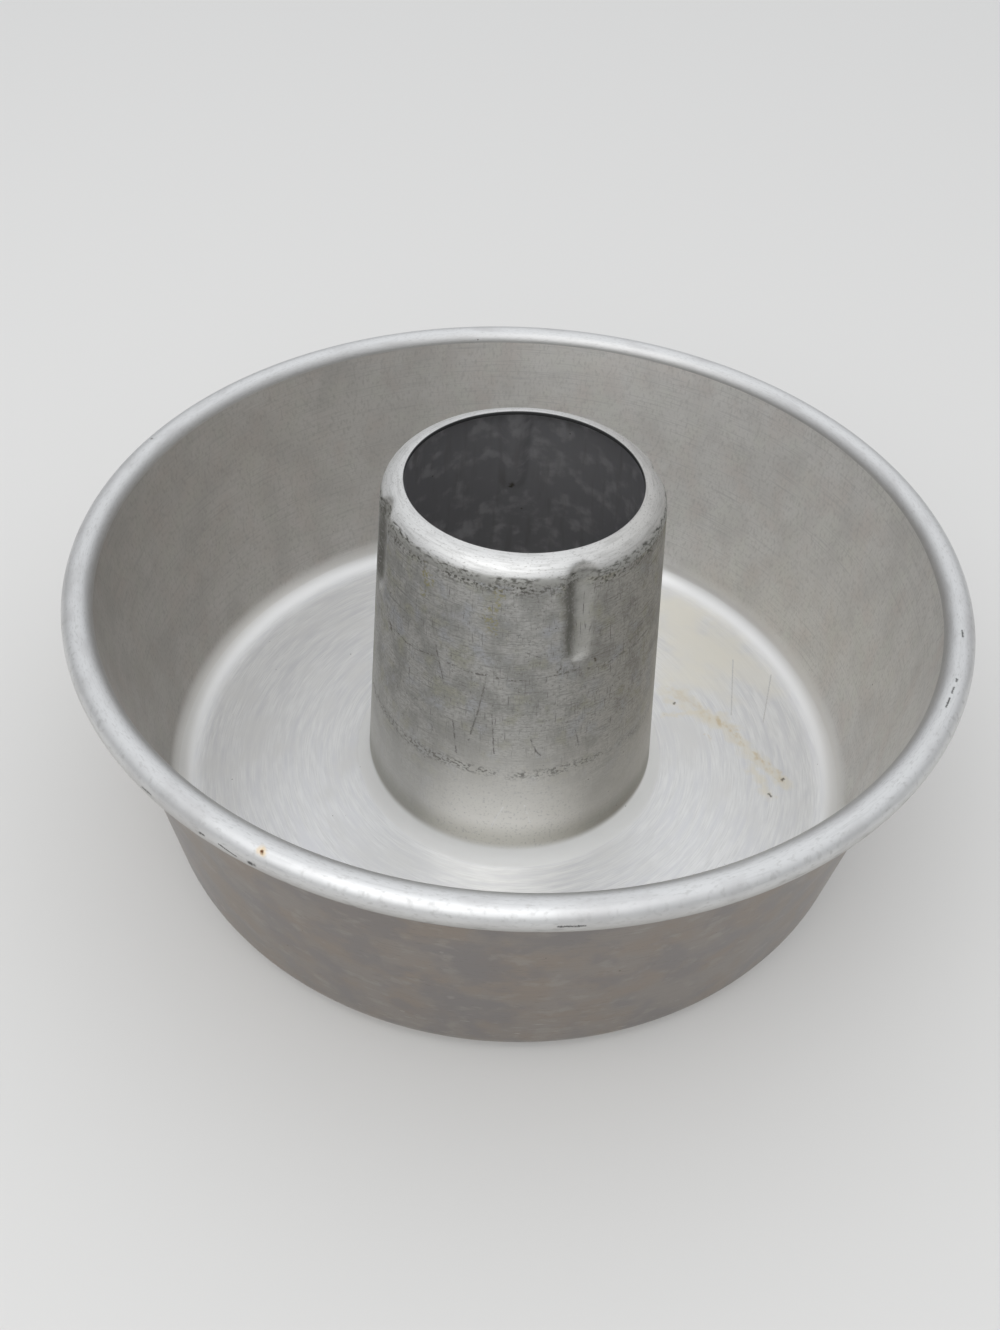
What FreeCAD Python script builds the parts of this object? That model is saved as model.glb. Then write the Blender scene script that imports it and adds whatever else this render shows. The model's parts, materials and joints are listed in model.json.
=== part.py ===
import FreeCAD, Part
import math
import os
from collections import namedtuple

# Angel food cake pan: one drawn aluminium sheet, from the lip of the centre tube down the tube,
# across the floor, up the wall and round the rolled rim, with a steel wire inside the roll.
# Millimetres and degrees. Z is the pan's axis and Z = 0 is the table under the floor.

# Sheet and rolled rim
sheet = 1.2                # thickness of the aluminium
rim_diameter = 254.0       # across the outside of the rolled rim
rim_height = 90.2          # from the table to the top of the rolled rim
bead_diameter = 8.2        # section of the rolled rim, outside
curl_slit = 0.6            # slit between the end of the curl and the wall
wire_clearance = 0.1       # all round the wire, inside the curl
wire_end_gap = 2.0         # between the two cut ends of the wire
wire_end_angle = -114.5    # where those ends meet, from the X axis, about Z

# Wall and floor
wall_draft = 5.8           # lean of the wall, from upright
floor_fillet = 9.5         # cake side, between floor and wall

# Centre tube
tube_height = 111.0        # from the table to the lip, above the rim so that the pan stands on it upside down
mouth_diameter = 66.0      # hole inside the lip
lip_land = 0.4             # flat ring round the hole
shoulder_radius = 6.4      # cake side, between lip and tube
tube_draft = 4.3           # lean of the tube, from upright
foot_fillet = 5.0          # cake side, between tube and floor

# Flutes pressed into the top of the tube, which stop nested pans from wedging
flute_angles = (-65.0, 15.0, 95.5, 199.0)   # from the X axis, about Z: pressed one by one, by eye
flute_radius = 7.2         # section of the pressing tool
flute_depth = 2.2          # below the shoulder
flute_end_depth = 1.6      # at the rounded lower end
flute_drop = 28.0          # from the lip to the centre of the rounded lower end
flute_edge = 2.0           # rounding where a flute runs out into the tube, cake side

ORIGIN = FreeCAD.Vector(0, 0, 0)
UP = FreeCAD.Vector(0, 0, 1)
SAME_LENGTH = 0.001

# A bend of the sheet: centre, radius on the cake side, the angles where the sheet enters and leaves it,
# and +1 where its centre lies under the sheet, -1 where it lies on the cake side.
Bend = namedtuple("Bend", "r z radius enter leave side")


def at_angle(r, z, radius, angle):
    """The point of a circle in the half plane of the profile."""
    turn = math.radians(angle)
    return FreeCAD.Vector(r + radius * math.cos(turn), 0, z + radius * math.sin(turn))


def fillet_centre_r(tangent, lean, radius, height):
    """Radius from the axis of a fillet's centre, given a point on the leaning run that it touches."""
    turn = math.radians(lean)
    return tangent.x + (radius - (height - tangent.z) * math.sin(turn)) / math.cos(turn)


def shoulder_bend():
    return Bend(mouth_diameter / 2 + lip_land, tube_height - shoulder_radius, shoulder_radius, 90, tube_draft, 1)


def shoulder_tangent():
    bend = shoulder_bend()
    return at_angle(bend.r, bend.z, bend.radius, bend.leave)


def foot_bend():
    height = sheet + foot_fillet
    r = fillet_centre_r(shoulder_tangent(), tube_draft, foot_fillet, height)
    return Bend(r, height, foot_fillet, 180 + tube_draft, 270, -1)


def curl_bend():
    outside = bead_diameter / 2
    inside = outside - sheet
    past_bottom = math.degrees(math.asin((inside - curl_slit) / outside)) + wall_draft
    r = rim_diameter / 2 - outside
    z = rim_height - outside
    return Bend(r, z, outside, 180 - wall_draft, -90 - past_bottom, 1)


def floor_bend():
    curl = curl_bend()
    tangent = at_angle(curl.r, curl.z, curl.radius, curl.enter)
    mirrored = FreeCAD.Vector(-tangent.x, 0, tangent.z)
    height = sheet + floor_fillet
    r = -fillet_centre_r(mirrored, wall_draft, floor_fillet, height)
    return Bend(r, height, floor_fillet, 270, 360 - wall_draft, -1)


def sheet_side(depth, bends):
    """Edges of one side of the sheet, from the mouth on: depth 0 is the cake side, sheet the other one."""
    edges = []
    last = FreeCAD.Vector(mouth_diameter / 2, 0, tube_height - depth)
    for bend in bends:
        radius = bend.radius - bend.side * depth
        start = at_angle(bend.r, bend.z, radius, bend.enter)
        middle = at_angle(bend.r, bend.z, radius, (bend.enter + bend.leave) / 2)
        end = at_angle(bend.r, bend.z, radius, bend.leave)
        edges.append(Part.makeLine(last, start))
        edges.append(Part.Arc(start, middle, end).toShape())
        last = end
    return edges


def spun(edges):
    """The solid of revolution of a closed profile about the pan's axis."""
    face = Part.Face(Part.Wire(Part.__sortEdges__(edges)))
    return face.revolve(ORIGIN, UP, 360)


def drawn_sheet():
    """The pan before its flutes are pressed."""
    bends = [shoulder_bend(), foot_bend(), floor_bend(), curl_bend()]
    cake_side = sheet_side(0, bends)
    bare_side = sheet_side(sheet, bends)
    mouth_edge = Part.makeLine(cake_side[0].Vertexes[0].Point, bare_side[0].Vertexes[0].Point)
    curl_edge = Part.makeLine(cake_side[-1].Vertexes[-1].Point, bare_side[-1].Vertexes[-1].Point)
    return spun(cake_side + bare_side + [mouth_edge, curl_edge])


def tube_core():
    """The space inside the tube, out to the middle of its sheet, where a flute may press the sheet inwards."""
    sides = sheet_side(sheet / 2, [shoulder_bend(), foot_bend()])[:3]
    top = sides[0].Vertexes[0].Point
    bottom = sides[-1].Vertexes[-1].Point
    on_axis_top = FreeCAD.Vector(0, 0, top.z)
    on_axis_bottom = FreeCAD.Vector(0, 0, bottom.z)
    closing = [Part.makeLine(on_axis_top, top), Part.makeLine(bottom, on_axis_bottom)]
    closing.append(Part.makeLine(on_axis_bottom, on_axis_top))
    return spun(sides + closing)


def flute_tool(radius):
    """The round-ended rod that presses a flute, at the X axis, leaning so that the flute runs out downwards."""
    tangent = shoulder_tangent()
    outwards = at_angle(0, 0, 1, tube_draft)
    downwards = at_angle(0, 0, 1, tube_draft - 90)
    run = (tangent.z - (tube_height - flute_drop)) / math.cos(math.radians(tube_draft))
    top = tangent + outwards * (flute_radius - flute_depth)
    end = tangent + downwards * run + outwards * (flute_radius - flute_end_depth)
    axis = (top - end).normalize()
    length = (top - end).Length + 2 * shoulder_radius
    rod = Part.makeCylinder(radius, length, end, axis)
    return rod.fuse(Part.makeSphere(radius, end))


def patterned(shape):
    """One copy of a shape for each flute."""
    copies = []
    for angle in flute_angles:
        copy = shape.copy()
        copy.rotate(ORIGIN, UP, angle)
        copies.append(copy)
    return copies


def single_solid(shape):
    """The one solid that a piece is made of."""
    solids = shape.Solids
    if len(solids) != 1 or not shape.isValid():
        raise ValueError("a piece did not come out as one valid solid")
    return solids[0]


def flute_rims(solid, radius):
    """The edges where flutes of that section radius run out into the tube and its shoulder."""
    rims = []
    for edge in solid.Edges:
        surfaces = [face.Surface for face in solid.ancestorsOfType(edge, Part.Face)]
        drawn = [s for s in surfaces if isinstance(s, (Part.Cone, Part.Toroid))]
        round_ones = [s for s in surfaces if isinstance(s, (Part.Cylinder, Part.Sphere))]
        pressed = [s for s in round_ones if abs(s.Radius - radius) < SAME_LENGTH]
        if drawn and pressed:
            rims.append(edge)
    return rims


def pan_shell():
    """The drawn sheet with its flutes: each one stands proud inside the tube and is hollow outside."""
    ridge = flute_tool(flute_radius + sheet).common(tube_core())
    pressed = drawn_sheet().fuse(patterned(ridge))
    fluted = pressed.cut(patterned(flute_tool(flute_radius))).removeSplitter()
    eased = single_solid(fluted)
    eased = eased.makeFillet(flute_edge, flute_rims(eased, flute_radius))
    return eased.makeFillet(flute_edge - sheet, flute_rims(eased, flute_radius + sheet))


def rim_wire():
    """The wire that the rim is rolled round: a hoop whose two cut ends almost meet."""
    curl = curl_bend()
    radius = curl.radius - sheet - wire_clearance
    gap = math.degrees(wire_end_gap / curl.r)
    hoop = Part.makeTorus(curl.r, radius, FreeCAD.Vector(0, 0, curl.z), UP, 0, 360, 360 - gap)
    hoop.rotate(ORIGIN, UP, wire_end_angle + gap / 2)
    return hoop


os.makedirs("parts", exist_ok=True)
for node, shape in {"pan_shell": pan_shell(), "rim_wire": rim_wire()}.items():
    solid = single_solid(shape)
    solid.exportStep("parts/" + node + ".step")
    box = solid.optimalBoundingBox(False)
    print(node, round(solid.Volume), "mm3,", round(box.XLength, 2), "across, from", round(box.ZMin, 2), "to", round(box.ZMax, 2))
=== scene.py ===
# %% [markdown]
# # An angel food cake pan
#
# This pan is one sheet of aluminium. It was drawn into a round tray with a tapered tube in the middle,
# its rim was rolled outwards round a steel wire, and four short flutes were pressed into the top of the
# tube. The lesson follows the maker: it draws half of the pan's section, spins it round the axis,
# presses the flutes, gives the sheet its thickness, and then lays years of baking and scrubbing over
# the bare metal.
#
# The measured model comes first. It sets the place and the outer size of everything that follows.

# %% Load the measured model
import json
import math
from collections import namedtuple

import bpy
from mathutils import Matrix, Vector


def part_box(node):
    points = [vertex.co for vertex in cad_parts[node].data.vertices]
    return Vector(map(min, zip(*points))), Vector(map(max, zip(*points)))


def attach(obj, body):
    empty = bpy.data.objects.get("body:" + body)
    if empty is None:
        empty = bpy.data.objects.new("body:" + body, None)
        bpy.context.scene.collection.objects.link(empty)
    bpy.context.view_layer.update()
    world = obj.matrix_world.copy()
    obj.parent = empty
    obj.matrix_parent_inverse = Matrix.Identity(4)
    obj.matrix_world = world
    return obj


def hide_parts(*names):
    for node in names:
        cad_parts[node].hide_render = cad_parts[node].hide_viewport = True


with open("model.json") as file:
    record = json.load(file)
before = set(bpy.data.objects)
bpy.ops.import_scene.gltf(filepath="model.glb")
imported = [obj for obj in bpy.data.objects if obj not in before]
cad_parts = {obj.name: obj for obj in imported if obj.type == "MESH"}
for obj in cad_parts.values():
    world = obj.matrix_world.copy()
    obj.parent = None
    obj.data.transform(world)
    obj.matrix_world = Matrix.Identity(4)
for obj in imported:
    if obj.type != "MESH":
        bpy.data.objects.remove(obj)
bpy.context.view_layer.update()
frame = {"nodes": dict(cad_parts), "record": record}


# %% [markdown]
# ## Camera
#
# The camera looks down at the pan by about 45 degrees, through a wide lens close to the rim. A wide lens
# close by makes the near rim large and the floor of the pan small, so the distance matters as much as
# the angle. The values below are a place in metres and angles in degrees. The picture is taken to be
# 1000 by 1330 points, and the lens is given as its length in those points.

# %% Place the camera
picture_height = 1330
lens_in_points = 1125
camera_place = Vector((0.0, -0.25597, 0.28959))
camera_turn = -0.98
camera_dip = 44.46
camera_roll = 2.61

bpy.ops.object.camera_add(location=camera_place)
camera = bpy.context.object
camera.name = "photograph_camera"
camera.data.lens = lens_in_points / picture_height * camera.data.sensor_width
turned = Matrix.Rotation(math.radians(-camera_turn), 3, "Z")
dipped = Matrix.Rotation(math.radians(90 - camera_dip), 3, "X")
rolled = Matrix.Rotation(math.radians(camera_roll), 3, "Z")
camera.rotation_euler = (turned @ dipped @ rolled).to_euler()
bpy.context.scene.camera = camera
print("lens:", round(camera.data.lens, 2), "mm")

# %% [markdown]
# ## Helpers for nodes
#
# The room and every finish are built from nodes. Three short helpers keep that readable: one feeds an
# input, one adds a node with its settings, and one does a sum.

# %% Node helpers
def feed(tree, value, socket):
    """Link an output to an input, or set the input to a constant."""
    if isinstance(value, bpy.types.NodeSocket):
        tree.links.new(value, socket)
    else:
        socket.default_value = value


def add(tree, kind, inputs=None, **settings):
    """Add a node, with its settings, and feed its inputs by name or by number."""
    made_node = tree.nodes.new("ShaderNode" + kind)
    for name, value in settings.items():
        setattr(made_node, name, value)
    for key, value in (inputs or {}).items():
        feed(tree, value, made_node.inputs[key])
    return made_node


def reckon(tree, operation, *numbers):
    """The result of a Math node."""
    return add(tree, "Math", dict(enumerate(numbers)), operation=operation).outputs[0]


# %% [markdown]
# ## Floor and light
#
# Polished metal shows its surroundings more than its own colour, so the room is part of the finish. A
# pale floor and a plain room give the metal something calm to mirror. The room is brightest overhead,
# as under a wide ceiling panel, so that level metal looks pale and upright metal darker. One soft lamp
# beside the camera adds the bright streaks of turned metal and a shadow behind the tube. The view
# transform is Standard, so that a colour comes out about as it is written.

# %% Lay the floor and light the room
bpy.context.scene.view_settings.view_transform = "Standard"

floor_span = 20.0
floor_height = -0.0001
floor_colour = (0.70, 0.69, 0.67, 1.0)
floor_roughness = 0.85
bpy.ops.mesh.primitive_plane_add(size=floor_span, location=(0, 0, floor_height))
floor = bpy.context.object
floor.name = "studio_floor"
floor_paint = bpy.data.materials.new("studio_floor_paint")
floor_paint.use_nodes = True
floor_shader = floor_paint.node_tree.nodes["Principled BSDF"]
floor_shader.inputs["Base Color"].default_value = floor_colour
floor_shader.inputs["Roughness"].default_value = floor_roughness
floor.data.materials.append(floor_paint)

room_colour = (0.95, 0.97, 1.0, 1.0)
room_low = 0.24
room_overhead = 1.08
ceiling_edge = math.sin(math.radians(45))
room_seen = 0.62
room = bpy.data.worlds.new("studio_room")
room.use_nodes = True
room_tree = room.node_tree
direction = add(room_tree, "TexCoord").outputs["Generated"]
upwards = add(room_tree, "SeparateXYZ", {0: direction}).outputs["Z"]
room_levels = {"Value": upwards, "From Max": ceiling_edge, "To Min": room_low, "To Max": room_overhead}
glow = add(room_tree, "MapRange", room_levels).outputs[0]
seen = add(room_tree, "LightPath").outputs["Is Camera Ray"]
strength = add(room_tree, "Mix", {0: seen, 2: glow, 3: room_seen}, data_type="FLOAT").outputs[0]
background = room_tree.nodes["Background"]
background.inputs["Color"].default_value = room_colour
feed(room_tree, strength, background.inputs["Strength"])
bpy.context.scene.world = room

pan_middle = Vector((0.0, 0.0, 0.04))


def softbox(name, place, size, power):
    """A square lamp that faces the pan."""
    bpy.ops.object.light_add(type="AREA", location=place)
    lamp = bpy.context.object
    lamp.name = name
    lamp.data.size = size
    lamp.data.energy = power
    aim = pan_middle - lamp.location
    lamp.rotation_euler = aim.to_track_quat("-Z", "Y").to_euler()
    return lamp


lamp_place = Vector((-0.32, -0.84, 1.04))
lamp_size = 1.35
lamp_power = 5.8
softbox("lamp_by_the_camera", lamp_place, lamp_size, lamp_power)
print("room, low and overhead:", room_low, room_overhead)

# %% [markdown]
# ## Half a section of the sheet
#
# A drawn pan is a body of revolution, so one line tells the whole shape. The line starts at the hole of
# the tube and follows the side of the sheet that the cake touches: over the lip and its shoulder, down
# the tube, round the foot, across the floor, up the wall and round the curl of the rim. It is made of
# straight runs and round bends, like the sheet. In edit mode a single point is extruded along each run
# and spun round the centre of each bend.
#
# The overall sizes come from the measured model. The runs get rings only where the shape needs them:
# the top of the tube has many, because the flutes are pressed into it.

# %% Sizes of the sheet
mm = 0.001
shell_low, shell_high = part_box("pan_shell")
mouth = next(mount for mount in frame["record"]["mounts"] if mount["name"] == "tube_mouth")

rim_radius = min(shell_high.x, shell_high.y, -shell_low.x, -shell_low.y)
tube_height = shell_high.z
mouth_radius = mouth["dims"]["r_mm"] * mm
sheet = mouth["dims"]["length_mm"] * mm
rim_height = 90.2 * mm
bead_radius = 4.1 * mm
lip_land = 0.4 * mm
shoulder_radius = 6.4 * mm
foot_fillet = 5.0 * mm
floor_fillet = 9.5 * mm
tube_draft = math.radians(4.3)
wall_draft = math.radians(5.8)
curl_turn = math.radians(307.0)
fluted_run = 36 * mm

quarter_turn = math.radians(90)
print("rim radius:", round(rim_radius, 5), "tube height:", round(tube_height, 5), "sheet:", sheet)


# %% A pen that draws the section
class SectionPen:
    """Draws the section with the selected point in edit mode. Its heading is measured from level."""

    def __init__(self, place):
        self.place = place
        self.heading = 0.0

    def ahead(self):
        return Vector((math.cos(self.heading), 0.0, math.sin(self.heading)))

    def left(self):
        return Vector((-math.sin(self.heading), 0.0, math.cos(self.heading)))

    def run(self, length, rings=1):
        """Draw a straight run, with that many points on it."""
        step = self.ahead() * (length / rings)
        for _ in range(rings):
            bpy.ops.mesh.extrude_region_move(TRANSFORM_OT_translate={"value": step})
        self.place = self.place + self.ahead() * length

    def bend(self, radius, turn, rings):
        """Draw a round bend, to the left where the turn is positive."""
        side = math.copysign(1.0, turn)
        centre = self.place + self.left() * (side * radius)
        bpy.ops.mesh.spin(steps=rings, angle=abs(turn), center=centre, axis=(0, side, 0))
        self.heading = self.heading + turn
        self.place = centre - self.left() * (side * radius)


# %% Draw the section
bpy.ops.object.select_all(action="DESELECT")
section_start = Vector((mouth_radius, 0.0, tube_height))
bpy.ops.mesh.primitive_plane_add(size=sheet, location=section_start)
pan = bpy.context.object
pan.name = "cake_pan"
bpy.ops.object.transform_apply(location=True)
bpy.ops.object.mode_set(mode="EDIT")
bpy.ops.mesh.select_all(action="SELECT")
bpy.ops.mesh.merge(type="CENTER")

pen = SectionPen(section_start)
pen.run(lip_land)
pen.bend(shoulder_radius, tube_draft - quarter_turn, rings=12)
foot_start_height = sheet + foot_fillet * (1 - math.sin(tube_draft))
tube_run = (pen.place.z - foot_start_height) / math.cos(tube_draft)
pen.run(fluted_run, rings=49)
pen.run(tube_run - fluted_run, rings=3)
pen.bend(foot_fillet, quarter_turn - tube_draft, rings=8)

curl_start = Vector((
    rim_radius - bead_radius * (1 + math.cos(wall_draft)), 0.0,
    rim_height - bead_radius * (1 - math.sin(wall_draft)),
))
floor_bend_end = sheet + floor_fillet * (1 - math.sin(wall_draft))
wall_run = (curl_start.z - floor_bend_end) / math.cos(wall_draft)
floor_bend_start = curl_start.x - wall_run * math.sin(wall_draft) - floor_fillet * math.cos(wall_draft)
pen.run(floor_bend_start - pen.place.x, rings=3)
pen.bend(floor_fillet, quarter_turn - wall_draft, rings=12)
pen.run(wall_run, rings=3)
pen.bend(bead_radius, -curl_turn, rings=40)
print("end of the curl:", [round(v, 4) for v in pen.place])

# %% [markdown]
# ## Spin the section
#
# One full turn round the axis makes the pan, and the spin joins its last ring to the first one. Then
# the faces are turned to look the same way. The cake side has to be the front of the sheet, because the
# thickness is added behind it later. A face of the pan's floor shows whether it already looks up.

# %% Spin the section into a sheet
turn_steps = 360
bpy.ops.mesh.select_all(action="SELECT")
bpy.ops.mesh.spin(steps=turn_steps, angle=math.tau, center=(0, 0, 0), axis=(0, 0, 1))
bpy.ops.mesh.select_all(action="SELECT")
bpy.ops.mesh.normals_make_consistent(inside=False)
bpy.ops.object.mode_set(mode="OBJECT")
pan_floor_face = min(pan.data.polygons, key=lambda face: face.center.z)
if pan_floor_face.normal.z < 0:
    bpy.ops.object.mode_set(mode="EDIT")
    bpy.ops.mesh.flip_normals()
    bpy.ops.object.mode_set(mode="OBJECT")
print("faces of the sheet:", len(pan.data.polygons), "floor looks up:", pan_floor_face.normal.z > 0)

# %% [markdown]
# ## Press the flutes
#
# Pans of this kind have short grooves at the top of the tube, so that nested pans don't wedge together.
# A worker turned the pan by eye and pressed a round-ended rod into the tube four times, which is why
# the flutes aren't evenly spaced. Here the rod is a ball whose upper half is pulled up. A Shrinkwrap
# modifier pushes every point that is inside the rod back to its surface, once for each flute. Sheet
# metal can't fold sharply, so the points near the flutes are smoothed a little afterwards.

# %% Make the press rod
flute_radius = 7.2 * mm
flute_depth = 2.2 * mm
flute_end_depth = 1.6 * mm
flute_drop = 28.0 * mm

outwards = Vector((math.cos(tube_draft), 0.0, math.sin(tube_draft)))
downwards = Vector((math.sin(tube_draft), 0.0, -math.cos(tube_draft)))
shoulder_centre = Vector((mouth_radius + lip_land, 0.0, tube_height - shoulder_radius))
shoulder_end = shoulder_centre + outwards * shoulder_radius
flute_run = (shoulder_end.z - tube_height + flute_drop) / math.cos(tube_draft)
rod_top = shoulder_end + outwards * (flute_radius - flute_depth)
rod_end = shoulder_end + downwards * flute_run + outwards * (flute_radius - flute_end_depth)
rod_axis = rod_top - rod_end

bpy.ops.object.select_all(action="DESELECT")
bpy.ops.mesh.primitive_uv_sphere_add(segments=64, ring_count=32, radius=flute_radius)
rod = bpy.context.object
rod.name = "press_rod"
bpy.ops.object.mode_set(mode="EDIT")
bpy.ops.mesh.select_mode(type="FACE")
bpy.ops.mesh.select_all(action="DESELECT")
bpy.ops.object.mode_set(mode="OBJECT")
for face in rod.data.polygons:
    face.select = face.center.z > 0
bpy.ops.object.mode_set(mode="EDIT")
rod_length = rod_axis.length + 2 * shoulder_radius
bpy.ops.mesh.extrude_region_move(TRANSFORM_OT_translate={"value": (0, 0, rod_length)})
bpy.ops.object.mode_set(mode="OBJECT")
rod.rotation_euler = (0, math.atan2(rod_axis.x, rod_axis.z), 0)
rod.location = rod_end
bpy.ops.object.transform_apply(location=True, rotation=True)
print("press rod, lowest point:", round(min(point.co.z for point in rod.data.vertices), 4))

# %% Press the rod into the tube
flute_angles = [math.radians(angle) for angle in (-65.0, 15.0, 95.5, 199.0)]

bpy.ops.object.select_all(action="DESELECT")
pan.select_set(True)
bpy.context.view_layer.objects.active = pan
for angle in flute_angles:
    rod.rotation_euler = (0, 0, angle)
    bpy.context.view_layer.update()
    press = pan.modifiers.new("press", "SHRINKWRAP")
    press.target = rod
    press.wrap_method = "PROJECT"
    press.use_positive_direction = False
    press.use_negative_direction = True
    press.cull_face = "FRONT"
    press.project_limit = 3 * flute_depth
    bpy.ops.object.modifier_apply(modifier=press.name)
bpy.data.objects.remove(rod)
print("flutes pressed:", len(flute_angles))

# %% Soften the edges of the flutes
flute_half_width = math.radians(13)
flute_foot = tube_height - flute_drop - flute_radius
tube_zone_radius = mouth_radius + 19 * mm


def from_axis(place):
    return math.hypot(place.x, place.y)


def near_flute(place):
    """Whether a place is in or beside a flute."""
    if from_axis(place) > tube_zone_radius or place.z < flute_foot:
        return False
    round_tube = math.atan2(place.y, place.x)
    return any(math.cos(round_tube - angle) > math.cos(flute_half_width) for angle in flute_angles)


bpy.ops.object.mode_set(mode="EDIT")
bpy.ops.mesh.select_mode(type="VERT")
bpy.ops.mesh.select_all(action="DESELECT")
bpy.ops.object.mode_set(mode="OBJECT")
for point in pan.data.vertices:
    point.select = near_flute(point.co) and point.co.z < tube_height - lip_land
bpy.ops.object.mode_set(mode="EDIT")
bpy.ops.mesh.vertices_smooth(factor=0.5, repeat=2)
bpy.ops.object.mode_set(mode="OBJECT")
print("points smoothed beside the flutes:", sum(point.select for point in pan.data.vertices))

# %% [markdown]
# ## Zones of the sheet
#
# One sheet, but each stretch of it has had its own life: the lip is rubbed bright, the tube is scuffed,
# the floor is scrubbed in rings, the wall is dulled by heat and the rim is burnished by hands. Each
# stretch is a zone with its own material slot. The zones are told apart by distance from the axis and
# by height. The second half of the slots is for the same stretches seen from behind, and Solidify hands
# those out through its material offset.

# %% Give each zone its slot
cake_side = ["lip_rubbed", "tube_scuffed", "floor_scrubbed", "wall_baked", "rim_burnished"]
bare_side = ["tube_inside_dull"] * 2 + ["underside_scuffed", "outside_tarnish_and_painted_reflection", "curl_inside_dull"]
finishes = {name: bpy.data.materials.new(name) for name in cake_side + bare_side}
for name in cake_side + bare_side:
    pan.data.materials.append(finishes[name])

lip_bottom = shoulder_end.z
foot_bottom = sheet + 0.1 * mm


def zone(place):
    """The cake side zone that a place on the sheet belongs to."""
    if from_axis(place) < tube_zone_radius and place.z > lip_bottom:
        return "lip_rubbed"
    if from_axis(place) < tube_zone_radius and place.z > foot_bottom:
        return "tube_scuffed"
    if place.z < floor_bend_end - floor_fillet / 2:
        return "floor_scrubbed"
    if place.z < curl_start.z and from_axis(place) < curl_start.x:
        return "wall_baked"
    return "rim_burnished"


for face in pan.data.polygons:
    face.material_index = cake_side.index(zone(face.center))
face_zones = [cake_side[face.material_index] for face in pan.data.polygons]
print("faces of each zone:", {name: face_zones.count(name) for name in cake_side})

# %% [markdown]
# ## Thickness and edges
#
# Solidify adds the metal behind the cake side. The two raw edges of the sheet, at the mouth of the tube
# and at the end of the curl, were deburred, so a narrow bevel takes their sharpness. Smooth shading by
# angle keeps the bends soft without rounding those edges away.

# %% Thicken the sheet and ease its edges
thicken = pan.modifiers.new("thicken", "SOLIDIFY")
thicken.thickness = sheet
thicken.offset = -1
thicken.use_even_offset = True
thicken.material_offset = len(cake_side)
bpy.ops.object.modifier_apply(modifier=thicken.name)

deburr = pan.modifiers.new("deburr", "BEVEL")
deburr.width = 0.25 * mm
deburr.segments = 3
deburr.limit_method = "ANGLE"
deburr.angle_limit = math.radians(60)
bpy.ops.object.modifier_apply(modifier=deburr.name)
bpy.ops.object.shade_smooth_by_angle(angle=math.radians(40))

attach(pan, "root")
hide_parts("pan_shell")
triangles = sum(len(face.vertices) - 2 for face in pan.data.polygons)
print("triangles of the pan:", triangles)

# %% [markdown]
# ## Tools for the finishes
#
# A finish is built up in layers, as wear builds up on metal. Each layer has a mask, which says where it
# lies, and a colour, a roughness and a height that it brings there. The class below keeps the colour,
# roughness and height that the layers have reached so far.

# %% Masks and places
PanPlace = namedtuple("PanPlace", "point radius height x y")


def fade(tree, value, low, high):
    """A mask that goes softly from 0 to 1 as a value goes from low to high. High may be the smaller one."""
    inputs = {"Value": value, "From Min": low, "From Max": high}
    return add(tree, "MapRange", inputs, interpolation_type="SMOOTHSTEP").outputs[0]


def pan_place(tree):
    """Where a point of the pan is: Object coordinates, and its distance from the axis, height, x and y."""
    point = add(tree, "TexCoord").outputs["Object"]
    x, y, height = add(tree, "SeparateXYZ", {0: point}).outputs
    level = add(tree, "CombineXYZ", {0: x, 1: y}).outputs[0]
    radius = add(tree, "VectorMath", {0: level}, operation="LENGTH").outputs["Value"]
    return PanPlace(point, radius, height, x, y)


# %% A finish in layers
class Finish:
    """A material under way. Its colour, roughness and height so far are constants or sockets."""

    def __init__(self, material, colour, roughness):
        material.use_nodes = True
        self.tree = material.node_tree
        self.place = pan_place(self.tree)
        self.shader = self.tree.nodes["Principled BSDF"]
        self.colour = (*colour, 1.0)
        self.roughness = roughness
        self.height = 0.0

    def effect(self, group, **values):
        """Place a group in the material, with its own values, and return its mask."""
        placed = add(self.tree, "Group", node_tree=group)
        for name, value in values.items():
            feed(self.tree, value, placed.inputs[name])
        return placed.outputs[0]

    def fade(self, value, low, high):
        return fade(self.tree, value, low, high)

    def both(self, mask, other):
        return reckon(self.tree, "MULTIPLY", mask, other)

    def layer(self, mask, colour=None, roughness=None, height=0.0, share=1.0, blend="MIX"):
        """Lay a share of a colour and a roughness where the mask is 1, and raise or sink the surface there.

        The colour covers what lies under it, or tints it where the blend is MULTIPLY.
        """
        mask = reckon(self.tree, "MULTIPLY", mask, share)
        if colour:
            colours = {0: mask, 6: self.colour, 7: (*colour, 1.0)}
            mixed = add(self.tree, "Mix", colours, data_type="RGBA", blend_type=blend)
            self.colour = mixed.outputs[2]
        if roughness:
            mixed = add(self.tree, "Mix", {0: mask, 2: self.roughness, 3: roughness}, data_type="FLOAT")
            self.roughness = mixed.outputs[0]
        if height:
            self.height = reckon(self.tree, "MULTIPLY_ADD", mask, height, self.height)

    def close(self, metallic=0.9, turned=0.0):
        """Feed the shader. A turned finish stretches its highlights across the turning lines."""
        feed(self.tree, self.colour, self.shader.inputs["Base Color"])
        feed(self.tree, self.roughness, self.shader.inputs["Roughness"])
        self.shader.inputs["Metallic"].default_value = metallic
        if isinstance(self.height, bpy.types.NodeSocket):
            bump = add(self.tree, "Bump", {"Height": self.height, "Distance": 1.0})
            feed(self.tree, bump.outputs[0], self.shader.inputs["Normal"])
        if turned:
            self.shader.inputs["Anisotropic"].default_value = turned
            self.shader.inputs["Anisotropic Rotation"].default_value = 0.25
            tangent = add(self.tree, "Tangent", direction_type="RADIAL", axis="Z")
            feed(self.tree, tangent.outputs[0], self.shader.inputs["Tangent"])


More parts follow.
